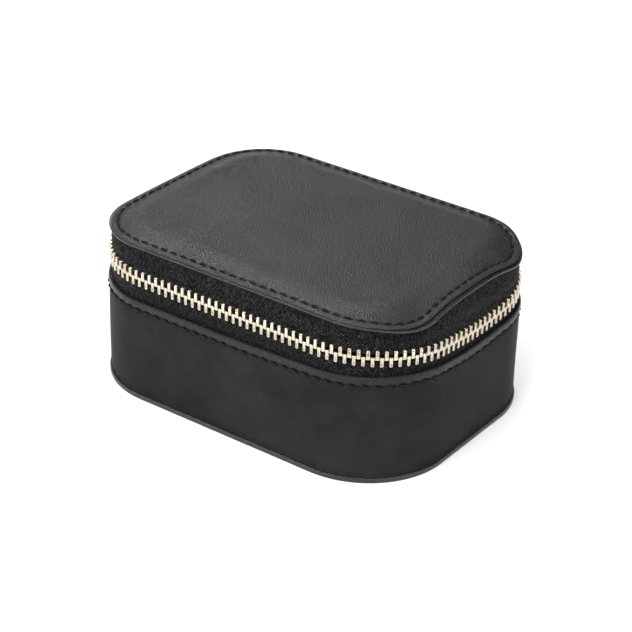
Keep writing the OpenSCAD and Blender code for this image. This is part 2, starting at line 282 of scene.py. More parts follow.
def dense(profile, step):
    """The same closed cross-section with no stretch longer than a step."""
    out = []
    for k, p in enumerate(profile):
        out += fill_between(p, profile[(k + 1) % len(profile)], step)
    return out


def ring_faces(rings, m):
    """The faces of a closed form made of rings of m points each, with flat ends."""
    faces = []
    for here in range(0, (rings - 1) * m, m):
        there = here + m
        faces += [(here + j, here + (j + 1) % m, there + (j + 1) % m, there + j) for j in range(m)]
    faces.append(tuple(range(m))[::-1])
    faces.append(tuple((rings - 1) * m + j for j in range(m)))
    return faces


# ---- Materials ----

class Shader:
    """A Principled material with a few helpers for adding nodes."""

    def __init__(self, name, **values):
        self.material = bpy.data.materials.new(name)
        self.material.use_nodes = True
        self.tree = self.material.node_tree
        self.main = self.tree.nodes["Principled BSDF"]
        for key, value in values.items():
            self.main.inputs[key.replace("_", " ")].default_value = value

    def node(self, kind, **settings):
        made = self.tree.nodes.new(kind)
        for key, value in settings.items():
            if hasattr(made, key):
                setattr(made, key, value)
            else:
                made.inputs[key.replace("_", " ")].default_value = value
        return made

    def link(self, source, target):
        self.tree.links.new(source, target)

    def place(self, by_uv=False):
        return self.node("ShaderNodeTexCoord").outputs["UV" if by_uv else "Object"]

    def noise(self, where, scale, detail=3.0, roughness=0.5):
        made = self.node("ShaderNodeTexNoise", Scale=scale, Detail=detail, Roughness=roughness)
        self.link(where, made.inputs["Vector"])
        return made.outputs["Fac"]

    def cells(self, where, scale):
        """0 on the borders of irregular cells, more towards their middles."""
        made = self.node("ShaderNodeTexVoronoi", feature="DISTANCE_TO_EDGE")
        made.inputs["Scale"].default_value = scale
        self.link(where, made.inputs["Vector"])
        return made.outputs["Distance"]

    def math(self, operation, a, b=0.0, c=0.0):
        made = self.node("ShaderNodeMath", operation=operation)
        for socket, value in zip(made.inputs, (a, b, c)):
            if isinstance(value, (int, float)):
                socket.default_value = value
            else:
                self.link(value, socket)
        return made.outputs[0]

    def ramp(self, fac, low, high, to_low=0.0, to_high=1.0):
        made = self.node("ShaderNodeMapRange")
        for socket, value in zip(made.inputs[1:5], (low, high, to_low, to_high)):
            socket.default_value = value
        self.link(fac, made.inputs[0])
        return made.outputs[0]

    def mix(self, fac, a, b):
        made = self.node("ShaderNodeMix", data_type="RGBA")
        made.inputs[6].default_value = (*a, 1)
        made.inputs[7].default_value = (*b, 1)
        self.link(fac, made.inputs[0])
        return made.outputs[2]

    def bump(self, height, distance, strength=1.0, under=None):
        made = self.node("ShaderNodeBump", Distance=distance, Strength=strength)
        self.link(height, made.inputs["Height"])
        if under:
            self.link(under, made.inputs["Normal"])
        return made.outputs["Normal"]

    def color(self, socket):
        self.link(socket, self.main.inputs["Base Color"])

    def rough(self, socket):
        self.link(socket, self.main.inputs["Roughness"])

    def normal(self, socket):
        self.link(socket, self.main.inputs["Normal"])


def leather(name, dark, light, pebble, grain, gloss, ior, relief):
    """Fine-grained leather: small pebbles, pores and slow changes of tone and gloss."""
    sh = Shader(name, IOR=ior)
    at = sh.place()
    blotch = sh.noise(at, 60, 4, 0.6)
    pebbles = sh.cells(at, 1 / pebble)
    pores = sh.noise(at, 1 / grain, 3, 0.6)
    tone = sh.math("MULTIPLY_ADD", pores, 0.4, sh.math("MULTIPLY", blotch, 0.6))
    wear = sh.math("ADD", sh.math("MULTIPLY", pores, 0.5), sh.math("MULTIPLY", blotch, 0.5))
    sh.color(sh.mix(sh.ramp(tone, 0.35, 0.65), dark, light))
    sh.rough(sh.ramp(wear, 0.3, 0.7, gloss - 0.07, gloss + 0.09))
    fine = sh.bump(pores, relief, 1.0)
    sh.normal(sh.bump(sh.ramp(pebbles, 0.0, 0.35), relief, 1.0, fine))
    return sh.material


def woven_tape():
    """Black herringbone tape: slanting ribs that turn back every few threads, with painted glints on the
    fibres and painted sheen on the rib crests.
    """
    sh = Shader("zip_tape", Roughness=0.6, IOR=1.15)
    split = sh.node("ShaderNodeSeparateXYZ")
    sh.link(sh.place(by_uv=True), split.inputs[0])
    along, across = split.outputs["X"], split.outputs["Y"]
    turn_back, rib_pitch, rib_rise, thread_pitch = 1.5 * MM, 0.95 * MM, 0.75 * MM, 0.3 * MM
    zigzag = sh.math("PINGPONG", across, turn_back)
    slant = sh.math("ADD", sh.math("MULTIPLY", along, 2 * math.pi / rib_pitch),
                    sh.math("MULTIPLY", zigzag, 2 * math.pi / rib_rise))
    ribs = sh.math("SINE", slant)
    threads = sh.math("SINE", sh.math("MULTIPLY", across, 2 * math.pi / thread_pitch))
    weave = sh.math("MULTIPLY_ADD", threads, 0.3, ribs)
    # Painted glints: the light specks from this noise and the lighter rib crests in the colour stand in for
    # highlights on the fibres; the herringbone itself is the tape's own weave.
    fibre_glints = sh.noise(sh.place(), 1300, 3, 0.7)
    weave_and_glints = sh.math("MULTIPLY_ADD", fibre_glints, 5.0, sh.math("MULTIPLY", weave, 0.7))
    sh.color(sh.mix(sh.ramp(weave_and_glints, 2.5, 3.7), (0.0005, 0.0005, 0.0006), (0.047, 0.047, 0.050)))
    sh.normal(sh.bump(weave_and_glints, 0.10 * MM, 1.0))
    return sh.material


def polished_metal(name, color, rough):
    """Plated zip metal with faint scratches and duller patches."""
    sh = Shader(name, Metallic=1.0)
    at = sh.place()
    wear = sh.noise(at, 900, 4, 0.6)
    sh.color(sh.mix(sh.ramp(wear, 0.35, 0.7), color, tuple(c * 0.82 for c in color)))
    sh.rough(sh.ramp(wear, 0.3, 0.7, rough - 0.06, rough + 0.12))
    sh.normal(sh.bump(sh.noise(at, 3000, 2), 0.01 * MM, 0.5))
    return sh.material


def velvet():
    """Short-pile lining cloth."""
    sh = Shader("velvet", Roughness=0.95, Specular_IOR_Level=0.1, Sheen_Weight=0.6, Sheen_Roughness=0.35,
                Sheen_Tint=(0.7, 0.7, 0.75, 1))
    at = sh.place()
    nap = sh.noise(at, 220, 3, 0.6)
    pile = sh.noise(at, 5000, 2)
    sh.color(sh.mix(sh.ramp(nap, 0.35, 0.65), (0.020, 0.019, 0.021), (0.040, 0.039, 0.043)))
    sh.normal(sh.bump(sh.math("MULTIPLY_ADD", nap, 0.4, pile), 0.08 * MM, 0.7))
    return sh.material


def thread():
    """Twisted, waxed sewing thread."""
    sh = Shader("thread", Roughness=0.55, IOR=1.3)
    at = sh.place()
    twist = sh.node("ShaderNodeTexWave", Scale=900, Distortion=1.0)
    sh.link(at, twist.inputs["Vector"])
    sh.color(sh.mix(twist.outputs["Fac"], (0.001, 0.001, 0.0012), (0.006, 0.006, 0.0066)))
    sh.normal(sh.bump(twist.outputs["Fac"], 0.05 * MM, 0.6))
    return sh.material


def greyboard():
    """Pressed grey board with short fibres."""
    sh = Shader("greyboard", Roughness=0.9, Specular_IOR_Level=0.2)
    at = sh.place()
    fibre = sh.noise(at, 1200, 5, 0.7)
    sh.color(sh.mix(sh.ramp(fibre, 0.35, 0.65), (0.24, 0.22, 0.19), (0.36, 0.34, 0.30)))
    sh.normal(sh.bump(fibre, 0.05 * MM, 0.6))
    return sh.material


def padding():
    """Open-cell foam."""
    sh = Shader("foam", Roughness=0.95, Specular_IOR_Level=0.1)
    at = sh.place()
    holes = sh.cells(at, 1600)
    sh.color(sh.mix(sh.ramp(holes, 0.0, 0.4), (0.45, 0.43, 0.36), (0.72, 0.70, 0.62)))
    sh.normal(sh.bump(holes, 0.15 * MM, 0.8))
    return sh.material


def silvered_glass():
    """A mirror with the faintest haze."""
    sh = Shader("mirror", Metallic=1.0, Coat_Weight=1.0, Coat_Roughness=0.01)
    at = sh.place()
    haze = sh.noise(at, 90, 4, 0.6)
    sh.color(sh.mix(sh.ramp(haze, 0.3, 0.8), (0.90, 0.92, 0.93), (0.86, 0.885, 0.895)))
    sh.rough(sh.ramp(haze, 0.4, 0.9, 0.015, 0.05))
    return sh.material


LEATHER_LID = leather("leather_lid", dark=(0.005, 0.005, 0.0055), light=(0.015, 0.015, 0.0165),
                      pebble=0.66 * MM, grain=0.29 * MM, gloss=0.32, ior=1.50, relief=0.155 * MM)
LEATHER_WALL = leather("leather_wall", dark=(0.012, 0.012, 0.0124), light=(0.024, 0.024, 0.0250),
                       pebble=0.75 * MM, grain=0.32 * MM, gloss=0.40, ior=1.07, relief=0.10 * MM)
LEATHER_HEM = leather("leather_hem", dark=(0.006, 0.006, 0.0062), light=(0.014, 0.014, 0.0147),
                      pebble=0.55 * MM, grain=0.25 * MM, gloss=0.24, ior=1.29, relief=0.10 * MM)
LEATHER_EDGE = leather("leather_edge", dark=(0.004, 0.004, 0.0045), light=(0.010, 0.010, 0.011),
                       pebble=0.45 * MM, grain=0.22 * MM, gloss=0.24, ior=1.50, relief=0.06 * MM)
TAPE = woven_tape()
GOLD = polished_metal("zip_gold", color=(0.62, 0.56, 0.44), rough=0.28)
VELVET = velvet()
THREAD = thread()
BOARD = greyboard()
FOAM = padding()
MIRROR = silvered_glass()


# ---- Stitches ----

def stitches(name, places, body, nodes=()):
    """Short thread humps; each place is (middle, direction along, direction out, length)."""
    points, faces = [], []
    along_steps, around = 8, 6
    for middle, along, out, length in places:
        side = along.cross(out)
        base = len(points)
        for i in range(along_steps + 1):
            t = i / along_steps
            swell = math.sin(math.pi * t) ** 0.5 if 0 < t < 1 else 0.0
            hump = 1.5 * math.sin(math.pi * t) - 0.9
            centre = middle + along * (t - 0.5) * length + out * THREAD_R * hump
            for k in range(around):
                angle = 2 * math.pi * k / around
                reach = THREAD_R * (0.45 + 0.55 * swell)
                points.append(centre + (side * math.cos(angle) + out * math.sin(angle)) * reach)
        faces += [tuple(base + k for k in f) for f in ring_faces(along_steps + 1, around)]
    return finish_piece(new_mesh(name, points, faces), body, "thread", THREAD, *nodes)


def edge_places(outline, z, pitch, length, tilt=0.0, flat=False, warp=None, sunk=0.0):
    """Stitch places along a rounded rectangle, on its side or, if flat, on a level face.

    tilt slants them across the seam, a little unevenly, as they are sewn. sunk is how deep they lie.
    """
    total = edge_length(*outline)
    count = round(total / pitch)
    places = []
    for i in range(count):
        s = (i + 0.5) * total / count
        x, y, nx, ny = edge_at(s, *outline)
        middle = Vector((x, y, z))
        if warp:
            middle.z += warp(x, y)
        along = Vector((ny, -nx, 0))
        out = Vector((0, 0, 1)) if flat else Vector((nx, ny, 0))
        side = along.cross(out)
        uneven = math.sin(i * 12.9898) * 43758.5453 % 1
        slant = tilt * (0.6 + 0.8 * uneven)
        direction = (along + side * slant).normalized()
        places.append((middle - out * sunk, direction, out, length * (0.84 + 0.16 * uneven)))
    return places


# ---- Base ----

def pucker(s, pitch, total):
    """0 between stitches to 1 in the middle of one, for leather drawn down by thread."""
    count = round(total / pitch)
    return 0.5 - 0.5 * np.cos(2 * math.pi * s * count / total)


def wall_warp(points, s):
    """Pulls the wall leather in along both seams, and lets it swell a little between them."""
    total = edge_length(WALL_L, WALL_W, WALL_R)
    draw = pucker(s, STITCH_PITCH, total)[:, None]
    z = points[:, :, 2]
    x, y = points[:, :, 0].copy(), points[:, :, 1].copy()
    edge = np.array([edge_at(t, WALL_L, WALL_W, WALL_R) for t in s])
    nx, ny = edge[:, 2][:, None], edge[:, 3][:, None]
    seam_top, seam_foot = WALL_TOP - HEM, PANEL_T + FOOT_HEM
    dip = -(0.26 + 0.20 * draw) * MM * bell(z - seam_top, 0.45 * MM)
    dip -= 0.10 * MM * draw * bell(z - seam_top, 1.1 * MM)
    dip -= (0.14 + 0.08 * draw) * MM * bell(z - seam_foot, 0.4 * MM)
    hem = np.clip((z - seam_top) / HEM, 0, 1)
    dip += 0.22 * MM * np.sin(math.pi * hem) ** 0.8
    above_foot = z - 4 * MM
    wave = 0.06 * MM * np.sin(s * 95)[:, None] * np.sin(above_foot * 180) * (above_foot > 0)
    outward = (x - edge[:, 0][:, None]) * nx + (y - edge[:, 1][:, None]) * ny
    move = (dip + wave) * (outward > -0.5 * MM)
    points[:, :, 0], points[:, :, 1] = x + nx * move, y + ny * move
    points[:, :, 2] = z + hem_shift(x, y, z)
    return points


def make_wall():
    """The wall's leather up to the upper seam, and the doubled hem above it."""
    outline = (WALL_L, WALL_W, WALL_R)
    seam = WALL_TOP - HEM
    top, foot = seam + 0.1 * MM, seam - 0.05 * MM
    section = rounded_profile([(0, PANEL_T), (0, top, 0.3 * MM), (LEATHER_T, top), (LEATHER_T, PANEL_T)],
                              0.1 * MM)
    section = dense(section, 0.48 * MM)
    outside_and_some = [p for k, p in enumerate(section) if p[0] < LEATHER_T / 2 or k % 4 == 0]
    wall = sweep("wall_leather_cover", outline, outside_and_some, 1120, warp=wall_warp)
    finish_piece(wall, "base", "leather_base", LEATHER_WALL, "wall_leather")
    section = [(0, foot, 0.3 * MM), (0, WALL_TOP, 0.55 * MM), (LEATHER_T, WALL_TOP, 0.3 * MM),
               (LEATHER_T, foot)]
    section = rounded_profile(section, 0.1 * MM, 6)
    hem = sweep("wall_hem", outline, dense(section, 0.3 * MM), 1400, warp=wall_warp)
    finish_piece(hem, "base", "leather_base", LEATHER_HEM)
    panel = rounded_profile([(0, 0, 0.25 * MM), (0, PANEL_T, 0.35 * MM), (0.9 * MM, PANEL_T)], 0.05 * MM)
    section = [(20 * MM, 0.0)] + panel + [(20 * MM, PANEL_T)]
    bottom = sweep("bottom_leather", (PANEL_L, PANEL_W, WALL_R + 0.4 * MM), section, 480, fan=True)
    finish_piece(bottom, "base", "leather_base", LEATHER_EDGE, "bottom_panel")
    places = edge_places(outline, seam, STITCH_PITCH, STITCH_L, tilt=0.28,
                         warp=lambda x, y: hem_shift(x, y, WALL_TOP))
    places += edge_places(outline, PANEL_T + FOOT_HEM, STITCH_PITCH, STITCH_L * 0.8, sunk=0.24 * MM)
    stitches("wall_seam_thread", places, "base", ("wall_stitching",))


# ---- Lid ----

CORNER_DROOP = 1.1 * MM    # how far every corner of the flange hangs
SLUMP = 0.9 * MM           # how much more the right-hand ones hang, and the left-hand ones less
DROOP_AT, DROOP_REACH = 33, 13      # degrees round from the long axis
RIM_OUT = 1.2 * MM         # how far the layer under the flange stands out at the ends


def lid_droop(x, y):
    """The flange hangs lower at its corners, most where a corner meets a short side."""
    tiny = 1e-9
    turn = np.degrees(np.arctan2(np.abs(y) / (LID_W / 2), np.abs(x) / (LID_L / 2) + tiny))
    fade = np.clip(1 - (inset_of(x, y) - LID_HEM) / (8 * MM), 0, 1)
    depth = CORNER_DROOP + SLUMP * np.tanh(x / (10 * MM))
    return -depth * bell(turn - DROOP_AT, DROOP_REACH) * smooth(fade)


def inset_from(x, y, length, width, radius):
    """Distance in from the edge of a rounded rectangle."""
    qx = np.abs(x) - (length / 2 - radius)
    qy = np.abs(y) - (width / 2 - radius)
    outside = np.hypot(np.maximum(qx, 0), np.maximum(qy, 0))
    return radius - outside - np.minimum(np.maximum(qx, qy), 0)


def inset_of(x, y):
    """Distance in from the lid's edge."""
    return inset_from(x, y, LID_L, LID_W, LID_R)


def crown_rise(x, y):
    """Height of the padded top above the flange."""
    d = inset_of(x, y)
    rise = np.clip((d - LID_HEM - 0.3 * MM) / (6.0 * MM), 0, 1)
    roll = 0.25 * smooth(rise) + 0.75 * (1 - (1 - rise) ** 2.2)
    dome = (1 - (x / (LID_L / 2)) ** 2) * (1 - (y / (LID_W / 2)) ** 2)
    soft = 0.05 * MM * (np.sin(x * 140 + 1.0) * np.sin(y * 170 + 0.5))
    return roll * (CROWN * 0.45 + soft) + CROWN * 0.5 * np.maximum(dome, 0) * rise


def lid_top_z(x, y, draw):
    """Height of the lid's leather: crown, droop, the groove the stitches pull and the rolled edge."""
    d = inset_of(x, y)
    z = FLANGE + crown_rise(x, y) + lid_droop(x, y)
    z = z - (0.16 + 0.24 * draw) * MM * bell(d - LID_HEM, 0.40 * MM)
    hem = np.clip(d / LID_HEM, 0, 1)
    return z + 0.10 * MM * np.sin(math.pi * hem) - 0.30 * MM * (1 - hem) ** 3


def lid_warp(points, s):
    """Shapes the lid's top face, and hangs its underside with it."""
    total = edge_length(LID_L, LID_W, LID_R)
    draw = pucker(s, STITCH_PITCH, total)[:, None]
    x, y, z = points[:, :, 0], points[:, :, 1], points[:, :, 2]
    top = z > FLANGE - 0.02 * MM
    rolled_edge = 0.15 * MM * (z > LID_FOOT + 0.4 * MM)
    points[:, :, 2] = np.where(top, lid_top_z(x, y, draw), z + lid_droop(x, y) - rolled_edge)
    return points


def make_lid():
    """The leather top with its sewn flange, the foam under it, the boards, the rim and the stitches."""
    outline = (LID_L, LID_W, LID_R)
    insets = [0.3, 0.6, 0.9, 1.2, 1.45, 1.65, 1.8, 1.95, 2.1, 2.25, 2.4, 2.6, 2.85, 3.2, 3.6, 4.1, 4.6, 5.2,
              5.9, 6.7, 7.6, 8.6, 9.8, 11.2, 12.8, 14.5, 16.2, 18.0]
    edge = [(14, 0), (0.3, 0), (0.08, 0.1), (0, 0.3), (0.02, 0.5), (0.12, 0.68)]
    section = [(d * MM, LID_FOOT + up * MM) for d, up in edge]
    section += [(d * MM, FLANGE) for d in insets]
    lid = lid_surface("lid_leather_cover", outline, section, 1120)
    finish_piece(lid, "lid", "leather_lid", LEATHER_LID, "lid_leather")
    pad_foot = LID_FOOT + 0.05 * MM
    pad = [(20 * MM, pad_foot), (LID_HEM + 2.8 * MM, pad_foot)]
    pad += [(d * MM, FLANGE) for d in insets if d * MM > LID_HEM + 3 * MM]
    foam = lid_surface("lid_foam_pad", outline, pad, 320, below=0.8 * MM)
    finish_piece(foam, "lid", "foam", FOAM, "lid_foam")
    make_lid_boards(outline)
    make_rim(outline)
    seam = (LID_L - 2 * LID_HEM, LID_W - 2 * LID_HEM, LID_R - LID_HEM)
    places = edge_places(seam, FLANGE + 0.10 * MM, STITCH_PITCH, STITCH_L, tilt=0.12, flat=True,
                         warp=lid_droop)
    stitches("lid_seam_thread", places, "lid", ("lid_stitching",))


def rim_out(points, by):
    """Pushes points out along X, most at the case's two ends."""
    x = points[:, :, 0]
    points[:, :, 0] = x + np.sign(x) * by * np.clip(np.abs(x) / (LID_L / 2), 0, 1) ** 6


def hang(points, s):
    """Lets a layer inside the lid follow the flange's droop, fully at its top and not at its lower edge."""
    z = points[:, :, 2]
    share = np.clip((z - LID_WALL_Z) / (LID_LINING_Z - LID_WALL_Z), 0, 1)
    points[:, :, 2] = z + share * lid_droop(points[:, :, 0], points[:, :, 1])
    return points


def make_lid_boards(outline):
    """The stiff board under the foam and the board wall that closes over the tray."""
    step = 8 * MM
    section = [(24 * MM, LID_BOARD_Z), (LID_WALL_IN, LID_BOARD_Z), (LID_WALL_IN, UNDER_FOOT),
               (step, UNDER_FOOT), (step, LID_FOOT), (24 * MM, LID_FOOT)]
    section = open_line(section, 1.5 * MM)
    board = sweep("lid_board_sheet", outline, section, 400, warp=hang, fan=True)
    finish_piece(board, "lid", "board", BOARD, "lid_board")
    section = dense([(LID_WALL_OUT, LID_WALL_Z), (LID_WALL_OUT, UNDER_FOOT), (LID_WALL_IN, UNDER_FOOT),
                     (LID_WALL_IN, LID_WALL_Z)], 1.5 * MM)
    wall = sweep("lid_wall_sheet", outline, section, 640, warp=hang)
    finish_piece(wall, "lid", "board", BOARD, "lid_wall_board")


def make_rim(outline):
    """The layer under the flange that the zip's tape is sewn to; it stands out a little at the ends."""
    low, high = UNDER_FOOT, LID_FOOT - 0.06 * MM
    outer, inner, edge_r = 0.1 * MM, 7.9 * MM, 0.3 * MM
    section = [(outer, low, edge_r), (outer, high, edge_r), (inner, high), (inner, low)]
    section = dense(rounded_profile(section, 0.1 * MM), 1 * MM)

    def droop(points, s):
        """Hangs the rim with the lid's corners and pushes its outer edge out at the ends."""
        x, y = points[:, :, 0], points[:, :, 1]
        points[:, :, 2] += lid_droop(x, y)
        near = np.clip(1 - inset_of(x, y) / (6 * MM), 0, 1)
        rim_out(points, RIM_OUT * near)
        return points

    rim = sweep("lid_under_edge", outline, section, 640, warp=droop)
    finish_piece(rim, "lid", "leather_edge", LEATHER_EDGE, "lid_under")


def lid_surface(name, outline, section, count, below=0.0):
    """The lid's padded top, or a layer below it: rings along the edge, then rings that close on the middle.

    section holds (distance in, height) points, as in sweep.
    """
    length, width, _ = outline
    closing_rings = 12
    total = edge_length(*outline)
    s_values = total * np.arange(count) / count
    edge = np.array([edge_at(s, *outline) for s in s_values])
    rings = []
    for d, z in section:
        rings.append(np.c_[edge[:, 0] - edge[:, 2] * d, edge[:, 1] - edge[:, 3] * d, np.full(count, z)])
    inner = rings[-1]
    spine = (length - width) / 2
    target = np.c_[np.clip(inner[:, 0], -spine, spine) * 0.98, np.zeros(count)]
    for k in range(1, closing_rings + 1):
        t = k / closing_rings
        flat = inner[:, :2] * (1 - t) + target * t
        rings.append(np.c_[flat, np.full(count, FLANGE)])
    points = np.stack(rings, axis=1)
    top = points[:, :, 2] >= FLANGE
    points = lid_warp(points, s_values)
    points[:, :, 2] -= below * top
    m = points.shape[1]
    faces = []
    for i in range(count):
        i2 = (i + 1) % count
        faces += [(i * m + j, i * m + j + 1, i2 * m + j + 1, i2 * m + j) for j in range(m - 1)]
    faces.append(tuple(i * m for i in range(count)))
    lid = new_mesh(name, points.reshape(-1, 3), faces)
    weld(lid)
    return lid


# ---- Zip ----

CHAIN = (WALL_L - 2 * TAPE_IN, WALL_W - 2 * TAPE_IN, WALL_R - TAPE_IN)
CHAIN_TOTAL = edge_length(*CHAIN)
CHAIN_START = HINGE_HALF + 3 * MM


def tape_section(foot, side):
    """Half of the zip's tape, a thin sheet with a corded edge at the teeth; side is -1 below, 1 above."""
    half, cord = TAPE_T / 2, TAPE_T
    edge = ZIP_MID + side * TAPE_EDGE
    neck, shoulder, tip = edge + side * 0.8 * MM, edge + side * 0.5 * MM, edge - side * 0.1 * MM
    points = [(half, foot), (-half, foot), (-half, neck), (-cord, shoulder), (-cord, tip), (cord, tip),
              (cord, shoulder), (half, neck)]
    return points if side < 0 else points[::-1]


def make_tapes():
    """Both tapes run from one end of the hinge strip to the other; past the stops they are bare."""
    past_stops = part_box("zip_top_stop_base")[1].y + 1 * MM
    length, width, radius = CHAIN
    bare = CHAIN_TOTAL - (length / 2 - radius) - math.pi * radius / 2 - (width / 2 - radius - past_stops)
    half = TAPE_T / 2
    spans = (("", (HINGE_HALF, bare), 560), ("_end", (bare, CHAIN_TOTAL - HINGE_HALF), 90))
    edge_end = 0.2 * MM
    top_low, foot_high = ZIP_MID - edge_end, ZIP_MID + edge_end
    for label, span, count in spans:
        low = tape_section(TAPE_FOOT, -1)
        if label:
            low = [(half, TAPE_FOOT), (-half, TAPE_FOOT), (-half, top_low), (half, top_low)]
        section = dense(rounded_profile(low, 0.12 * MM, 2), 0.8 * MM)
        tape = sweep("tape_base" + label, CHAIN, section, count, span=span, warp=slump)
        finish_piece(tape, "base", "zip_tape", TAPE, "zip_tape_base")
        lean_x, top = 1.7 * MM, UNDER_FOOT + 0.3 * MM
        high = [(half, BEND_Z), (lean_x + half, top), (lean_x - half, top), (-half, BEND_Z)]
        if label:
            high += [(-half, foot_high), (half, foot_high)]
        else:
            high += tape_section(BEND_Z, 1)[:-2]
        section = dense(rounded_profile(high, 0.12 * MM, 2), 0.8 * MM)
        tape = sweep("tape_lid" + label, CHAIN, section, count, span=span, warp=lean)
        finish_piece(tape, "lid", "zip_tape", TAPE, "zip_tape_lid")


def slump(points, s):
    """Lets the lower tape hang with the zip."""
    points[:, :, 2] += sag(points[:, :, 0], points[:, :, 1], points[:, :, 2])
    return points


def lean(points, s):
    """Leads the top of the lid's tape to its seam, further in at the ends and lower at the corners."""
    x, y, z = points[:, :, 0], points[:, :, 1], points[:, :, 2]
    t = np.clip((z - BEND_Z) / (UNDER_FOOT - BEND_Z), 0, 1)
    x_extra = (WALL_L / 2 - LID_L / 2) - (WALL_W / 2 - LID_W / 2)
    rim_out(points, t * (RIM_OUT - x_extra))
    drop = lid_droop(x, y)
    cord_top = ZIP_MID + 2 * TAPE_EDGE
    rise = np.clip((z - cord_top) / (UNDER_FOOT - cord_top), 0, 1)
    points[:, :, 2] += rise * drop + sag(x, y, z)
    return points


def tooth_mesh():
    """One upper tooth's points and faces: local x outward, y along the zip, z up from the tip."""
    half_w, half_t = TOOTH_W / 2, TOOTH_T / 2
    head, shank = 0.56 * MM, 0.47 * MM
    right_side = [(head, 0.0, 0.2 * MM), (head, 0.7 * MM, 0.15 * MM), (shank, 0.95 * MM, 0.15 * MM),
                  (shank, TOOTH_H, 0.3 * MM)]
    left_side = [(-y, z, r) for y, z, r in right_side]
    outline = left_side[:1] + right_side + left_side[:0:-1]
    ring = np.array(rounded_profile(outline, 0.2 * MM, 3))
    middle = np.array([0.0, TOOTH_H / 2])
    thickness = ((half_t, 0.16 * MM), (half_t - 0.05 * MM, 0.05 * MM), (half_t - 0.17 * MM, 0.0))
    layers = []
    for x, inset in [(-x, inset) for x, inset in thickness] + list(thickness[::-1]):
        shrink = np.array([1 - inset / half_w, 1 - inset / (TOOTH_H / 2)])
        flat = (ring - middle) * shrink + middle
        layers.append(np.c_[np.full(len(ring), x), flat])
    n = len(ring)
    dimple_at = np.array([0.0, 2.3 * MM])
    angle = np.arctan2(ring[:, 1] - dimple_at[1], ring[:, 0])
    for depth, r in ((0.0, 0.25 * MM), (0.1 * MM, 0.21 * MM), (0.3 * MM, 0.16 * MM)):
        circle = dimple_at + r * np.c_[np.cos(angle), np.sin(angle)]
        layers.append(np.c_[np.full(n, half_t - depth), circle])
    return np.concatenate(layers), ring_faces(len(layers), n)


TOOTH_POINTS, TOOTH_FACES = tooth_mesh()
TOOTH_REACH = 0.4 * MM     # how far a tooth's tip passes the middle of the zip


def teeth(name, body, upper, first, count, nodes):
    """A row of teeth along the chain; the lower row is the upper one turned over, half a pitch along."""
    points, faces = [], []
    p = TOOTH_POINTS
    flip = 1 if upper else -1
    for i in range(first, first + count):
        s = CHAIN_START + (i + (0.75 if upper else 0.25)) * TOOTH_PITCH
        x, y, nx, ny = edge_at(s, *CHAIN)
        z = (p[:, 2] - TOOTH_REACH) * flip + sag(x, y, ZIP_MID)
        base = len(points) * len(p)
        points.append(np.c_[x + nx * p[:, 0] + ny * p[:, 1] * flip,
                            y + ny * p[:, 0] - nx * p[:, 1] * flip, ZIP_MID + z])
        faces += [tuple(base + k for k in f) for f in TOOTH_FACES]
    row = new_mesh(name, np.concatenate(points), faces)
    finish_piece(row, body, "zip_metal", GOLD, *nodes)


def make_teeth():
    """Both rows, with the teeth that the slider runs over as pieces of their own."""
    a, b, r = CHAIN[0] / 2 - CHAIN[2], CHAIN[1] / 2 - CHAIN[2], CHAIN[2]
    run_start = 3 * a + 3 * math.pi * r / 2 + 2 * b
    front = int((run_start - CHAIN_START) / TOOTH_PITCH)
    slider_y = (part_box("slider_body")[0].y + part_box("slider_body")[1].y) / 2
    run = int((b + slider_y + 1 * MM) / TOOTH_PITCH)
    teeth("teeth_base", "base", False, 0, front, ["zip_teeth_base"])
    teeth("teeth_lid", "lid", True, 0, front, ["zip_teeth_lid"])
    teeth("teeth_base_run", "base", False, front, run, ["zip_run_base"])
    teeth("teeth_lid_run", "lid", True, front, run, ["zip_run_lid"])


# ---- Inside ----

def wrinkle(points, amount, seed):
    """Small uneven moves that keep cloth from looking machined."""
    x, y, z = points[..., 0], points[..., 1], points[..., 2]
    broad = np.sin(x * 410 + seed) * np.cos(y * 370 + 2 * seed)
    slanted = 0.6 * np.sin(z * 530 + x * 290 + seed)
    fine = 0.5 * np.sin(y * 880 - z * 610 + 3 * seed)
    return amount * (broad + slanted + fine) / 2


